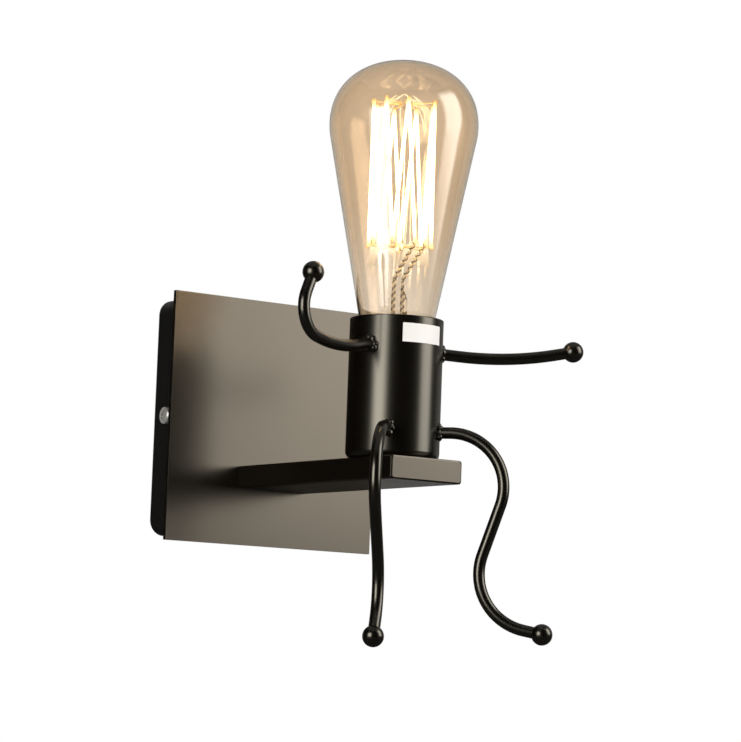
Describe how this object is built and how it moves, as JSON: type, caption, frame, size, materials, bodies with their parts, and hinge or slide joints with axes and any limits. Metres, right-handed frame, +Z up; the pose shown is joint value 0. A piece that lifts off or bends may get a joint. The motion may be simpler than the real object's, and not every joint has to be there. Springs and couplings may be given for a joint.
{
  "type": "wall sconce",
  "caption": "Wall lamp shaped like a small seated figure: square face plate, flat arm, lamp cup with bent-rod limbs and ball ends, and a pear-shaped filament bulb that screws out.",
  "frame": {"origin": "on the wall plane at the centre of the wall bracket and canopy", "axes": "+Z up, -Y out of the wall towards the room, +X to the right as seen from the room"},
  "size_m": [0.1463, 0.1595, 0.2516],
  "materials": {
    "plate_gunmetal": "satin gunmetal lacquer",
    "canopy_black": "satin black paint",
    "arm_gunmetal": "satin dark gunmetal lacquer",
    "cup_black": "satin black-brown paint",
    "limb_black": "glossy black paint",
    "zinc_steel": "zinc plated",
    "bright_screw": "nickel plated",
    "brass": "plain brass",
    "ceramic_white": "glazed ceramic",
    "label_white": "blank film label",
    "grommet_rubber": "soft black rubber",
    "block_plastic": "moulded nylon",
    "wire_brown": "brown insulation",
    "wire_blue": "blue insulation",
    "wire_earth": "green and yellow insulation",
    "amber_glass": "clear amber glass",
    "clear_glass": "clear lead glass",
    "cap_nickel": "rolled brass",
    "cap_insulator": "black cap glass",
    "lead_nickel": "bare nickel wire",
    "filament_glow": "glowing filament"
  },
  "bodies": {
    "fixture": {"wall_bracket": "zinc_steel", "canopy_pan": "canopy_black", "canopy_side_screws": "bright_screw", "face_plate": "plate_gunmetal", "arm_fixing_screws": "zinc_steel", "wire_grommet": "grommet_rubber", "terminal_block": "block_plastic", "terminal_inserts": "brass", "terminal_clamp_screws": "zinc_steel", "terminal_fixing_screws": "zinc_steel", "earth_screw": "zinc_steel", "earth_ring_terminal": "zinc_steel", "support_arm": "arm_gunmetal", "arm_rear_block": "zinc_steel", "arm_front_cap": "arm_gunmetal", "lamp_cup": "cup_black", "blank_label": "label_white", "threaded_nipple": "zinc_steel", "nipple_nuts": "zinc_steel", "holder_bracket": "zinc_steel", "holder_bracket_screws": "zinc_steel", "holder_body": "ceramic_white", "holder_screw_shell": "brass", "holder_centre_contact": "brass", "holder_rivets": "brass", "holder_terminals": "brass", "holder_terminal_screws": "zinc_steel", "left_arm_rod": "limb_black", "right_arm_rod": "limb_black", "left_leg_rod": "limb_black", "right_leg_rod": "limb_black", "left_hand_ball": "limb_black", "right_hand_ball": "limb_black", "left_foot_ball": "limb_black", "right_foot_ball": "limb_black", "live_wire": "wire_brown", "neutral_wire": "wire_blue", "earth_wire": "wire_earth"},
    "bulb_foot": {"bulb_cap_insulator": "cap_insulator", "bulb_tip_contact": "bright_screw"},
    "bulb": {"bulb_glass": "amber_glass", "bulb_screw_cap": "cap_nickel", "bulb_stem": "clear_glass", "bulb_lead_wires": "lead_nickel", "bulb_filament_supports": "lead_nickel", "bulb_filament": "filament_glow"}
  },
  "joints": [
    {"name": "bulb_lift", "type": "slide", "parent": "fixture", "child": "bulb_foot", "axis": [0, 0, 1], "range_m": [0, 0.01815]},
    {"name": "bulb_turn", "type": "hinge", "parent": "bulb_foot", "child": "bulb", "pos_m": [0, -0.1075, 0.02], "axis": [0, 0, 1], "range_deg": [0, 1800]}
  ],
  "couplings": [
    {"joint": "bulb_lift", "follows": "bulb_turn", "m_per_rad": 0.00057757}
  ]
}
